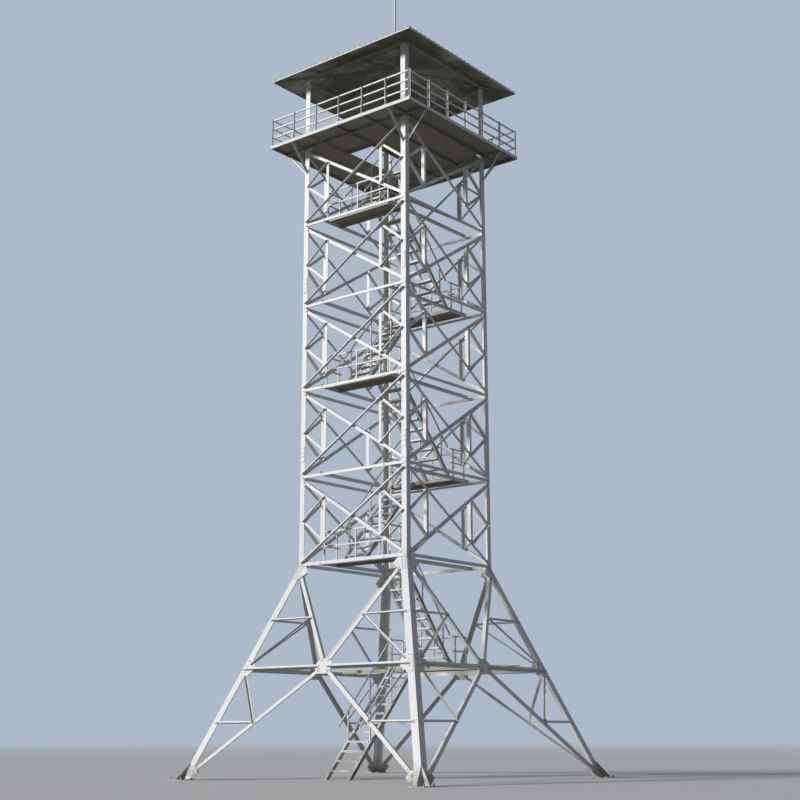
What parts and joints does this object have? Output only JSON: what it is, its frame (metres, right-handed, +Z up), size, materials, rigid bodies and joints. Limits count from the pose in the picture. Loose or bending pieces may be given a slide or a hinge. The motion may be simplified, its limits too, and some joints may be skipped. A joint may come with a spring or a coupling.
{
  "type": "open steel lattice guard tower",
  "caption": "Open steel lattice guard tower on splayed legs, with a switchback stair, a railed lookout deck, a low pyramid roof and a lightning rod.",
  "frame": {"origin": "on the ground at the centre of the four feet", "axes": "+Z up; -Y towards the front face; +X to the right seen from the front"},
  "size_m": [10.26, 10.26, 28.4755],
  "materials": {
    "tower_steel": "satin",
    "stair_steel": "satin",
    "tread_plate": "matte",
    "roof_sheet": "satin"
  },
  "bodies": {
    "root": {"base_bracing_back": "tower_steel", "base_bracing_front": "tower_steel", "base_bracing_left": "tower_steel", "base_bracing_right": "tower_steel", "base_gussets": "tower_steel", "base_leg_back_left": "tower_steel", "base_leg_back_right": "tower_steel", "base_leg_front_left": "tower_steel", "base_leg_front_right": "tower_steel", "deck_beams": "tower_steel", "deck_floor": "tread_plate", "flight_1": "stair_steel", "flight_2": "stair_steel", "flight_3": "stair_steel", "flight_4": "stair_steel", "flight_5": "stair_steel", "flight_6": "stair_steel", "flight_7": "stair_steel", "foot_back_left": "tower_steel", "foot_back_right": "tower_steel", "foot_front_left": "tower_steel", "foot_front_right": "tower_steel", "knee_braces": "tower_steel", "landing_1": "tread_plate", "landing_2": "tread_plate", "landing_3": "tread_plate", "landing_4": "tread_plate", "landing_5": "tread_plate", "landing_6": "tread_plate", "landing_rails": "stair_steel", "lightning_rod": "tower_steel", "railing_back": "stair_steel", "railing_front": "stair_steel", "railing_left": "stair_steel", "railing_right": "stair_steel", "roof_back": "roof_sheet", "roof_cap": "roof_sheet", "roof_frame": "tower_steel", "roof_front": "roof_sheet", "roof_left": "roof_sheet", "roof_right": "roof_sheet", "roof_ring": "tower_steel", "shaft_bracing_back": "tower_steel", "shaft_bracing_front": "tower_steel", "shaft_bracing_left": "tower_steel", "shaft_bracing_right": "tower_steel", "shaft_leg_back_left": "tower_steel", "shaft_leg_back_right": "tower_steel", "shaft_leg_front_left": "tower_steel", "shaft_leg_front_right": "tower_steel", "side_beams": "tower_steel", "treads_1": "tread_plate", "treads_2": "tread_plate", "treads_3": "tread_plate", "treads_4": "tread_plate", "treads_5": "tread_plate", "treads_6": "tread_plate", "treads_7": "tread_plate"}
  },
  "joints": []
}
